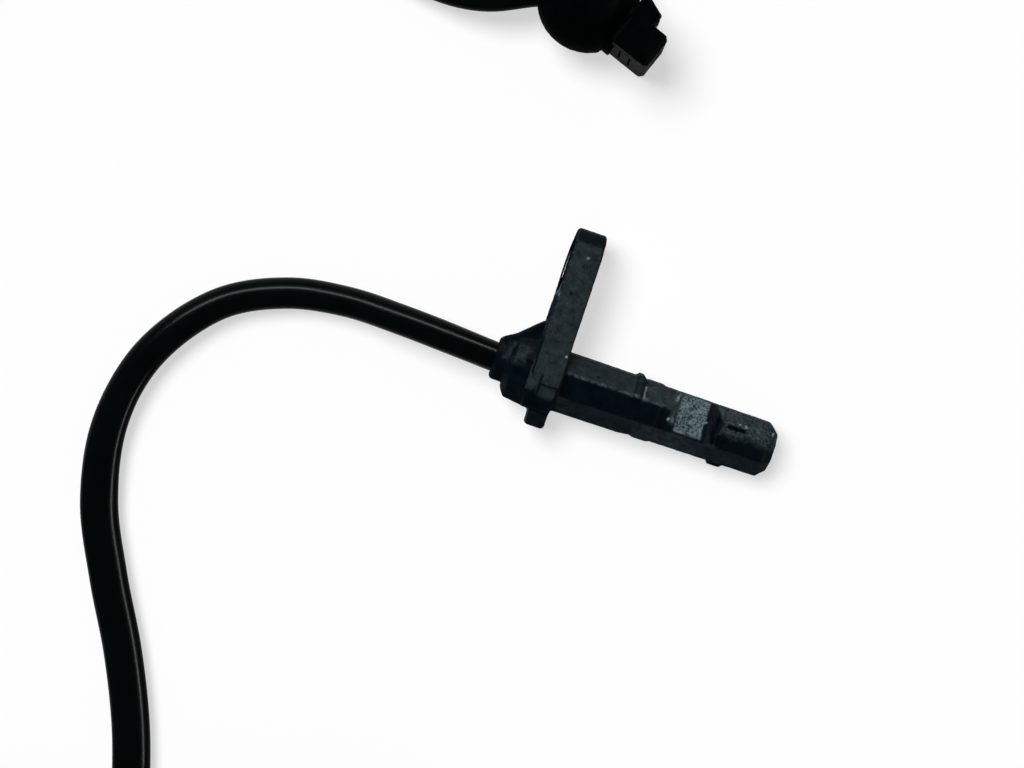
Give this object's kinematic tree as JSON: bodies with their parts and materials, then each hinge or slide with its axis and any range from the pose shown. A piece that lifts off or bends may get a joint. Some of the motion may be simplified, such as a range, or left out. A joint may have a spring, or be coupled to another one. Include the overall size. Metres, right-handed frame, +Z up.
{
  "type": "wheel speed sensor",
  "caption": "Faceted black barrel sensor with a bolt ear, on a rubber lead that ends in a booted plug; it reads a wheel's speed at the hub.",
  "frame": {"origin": "middle of the underside of the sensor head's box, on the surface that it lies on", "axes": "+X along the barrel towards its tip as seen from above, +Y towards the bolt ear, +Z up"},
  "size_m": [0.1511, 0.2091, 0.0167],
  "materials": {
    "housing_plastic": "scuffed moulded black plastic",
    "bush_steel": "dull zinc-plated steel",
    "carrier_plastic": "moulded plastic",
    "magnet": "sintered, dark",
    "epoxy": "moulded epoxy",
    "tinned_metal": "tin plated",
    "core_brown": "smooth insulation",
    "core_blue": "smooth insulation",
    "cable_jacket": "glossy black rubber jacket",
    "tie_nylon": "nylon",
    "boot_rubber": "satin black rubber",
    "plug_plastic": "moulded black plastic",
    "lock_plastic": "moulded dark grey plastic",
    "seal_rubber": "silicone"
  },
  "bodies": {
    "root": {"sensor_housing": "housing_plastic", "mounting_bush": "bush_steel", "chip_carrier": "carrier_plastic", "bias_magnet": "magnet", "sensing_chip": "epoxy", "smoothing_capacitor": "epoxy", "lead_frame_supply": "tinned_metal", "lead_frame_signal": "tinned_metal", "crimp_sleeve_supply": "tinned_metal", "crimp_sleeve_signal": "tinned_metal", "core_wire_supply": "core_brown", "core_wire_signal": "core_blue", "cable_run_sensor": "cable_jacket", "cable_run_plug": "cable_jacket", "cable_coil": "cable_jacket", "coil_tie_1": "tie_nylon", "coil_tie_2": "tie_nylon", "plug_boot": "boot_rubber", "plug_housing": "plug_plastic", "plug_terminal_lock": "lock_plastic", "plug_terminal_supply": "tinned_metal", "plug_terminal_signal": "tinned_metal", "wire_seal_supply": "seal_rubber", "wire_seal_signal": "seal_rubber", "plug_core_supply": "core_brown", "plug_core_signal": "core_blue"}
  },
  "joints": []
}
